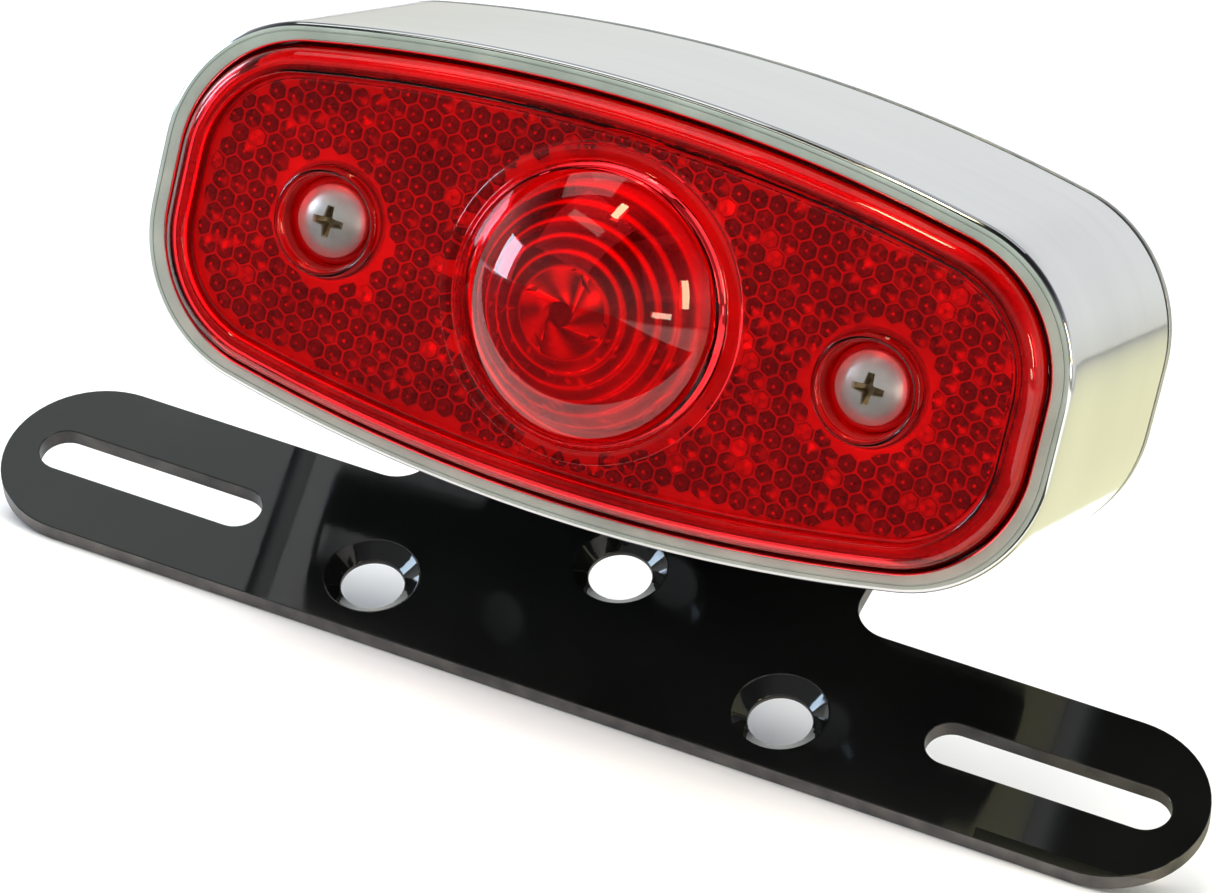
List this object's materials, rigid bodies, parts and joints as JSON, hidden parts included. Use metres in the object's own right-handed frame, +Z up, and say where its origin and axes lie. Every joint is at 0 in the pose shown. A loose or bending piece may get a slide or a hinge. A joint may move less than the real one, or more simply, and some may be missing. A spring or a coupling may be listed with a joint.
{
  "type": "motorcycle tail light",
  "caption": "Oval red tail light with a domed lens in a polished metal housing, on a bent black number plate bracket with slotted arms and countersunk holes.",
  "frame": {"origin": "midway between the two fixing studs, on the rear face of the bracket's upright tab", "axes": "+X along the light, -Y the way the lens faces, +Z up"},
  "size_m": [0.1672, 0.0752, 0.0823],
  "materials": {
    "polished_metal": "bright polished",
    "clear_plastic": "clear",
    "black_rubber": "matt",
    "zinc_steel": "zinc plated",
    "red_lens": "clear red moulded plastic",
    "stainless": "satin stainless",
    "plated_post": "plated",
    "socket_metal": "plated",
    "brown_insulator": "pressed board",
    "brass": "bright",
    "spring_steel": "bright wire",
    "nickel_brass": "nickel plated",
    "black_glass": "vitrified",
    "solder": "soldered",
    "clear_glass": "clear",
    "tungsten": "drawn wire",
    "black_powder_coat": "gloss black powder coat"
  },
  "bodies": {
    "lamp_body": {"housing": "polished_metal", "plate_window": "clear_plastic", "housing_gasket": "black_rubber", "back_plate": "zinc_steel", "lens": "red_lens", "lens_gasket": "black_rubber", "lens_screws": "stainless", "lens_posts": "plated_post", "socket_shell": "socket_metal", "socket_flange": "socket_metal", "socket_rivets": "plated_post", "socket_rear_plug": "black_rubber", "contact_spring": "spring_steel", "mounting_studs": "zinc_steel", "flat_washers": "zinc_steel", "lock_washers": "spring_steel", "stud_nuts": "zinc_steel", "number_plate_bracket": "black_powder_coat"},
    "bulb": {"bulb_base": "nickel_brass", "bulb_pins": "nickel_brass", "bulb_base_insulator": "black_glass", "bulb_contacts": "solder", "bulb_glass": "clear_glass", "bulb_stem": "clear_glass", "bulb_filaments": "tungsten", "bulb_support_wires": "tungsten"},
    "contact_plunger": {"contact_carrier": "brown_insulator", "carrier_contacts": "brass"}
  },
  "joints": [
    {"name": "bulb_push", "type": "slide", "parent": "lamp_body", "child": "bulb", "axis": [0, 1, 0], "range_m": [0, 0.0015], "stiffness_N_per_m": 2000, "springref_m": -0.002},
    {"name": "contact_plunger_slide", "type": "slide", "parent": "lamp_body", "child": "contact_plunger", "axis": [0, 1, 0], "range_m": [0, 0.0015], "deforming": ["contact_spring"]}
  ],
  "couplings": [
    {"joint": "contact_plunger_slide", "follows": "bulb_push", "ratio": 1}
  ]
}
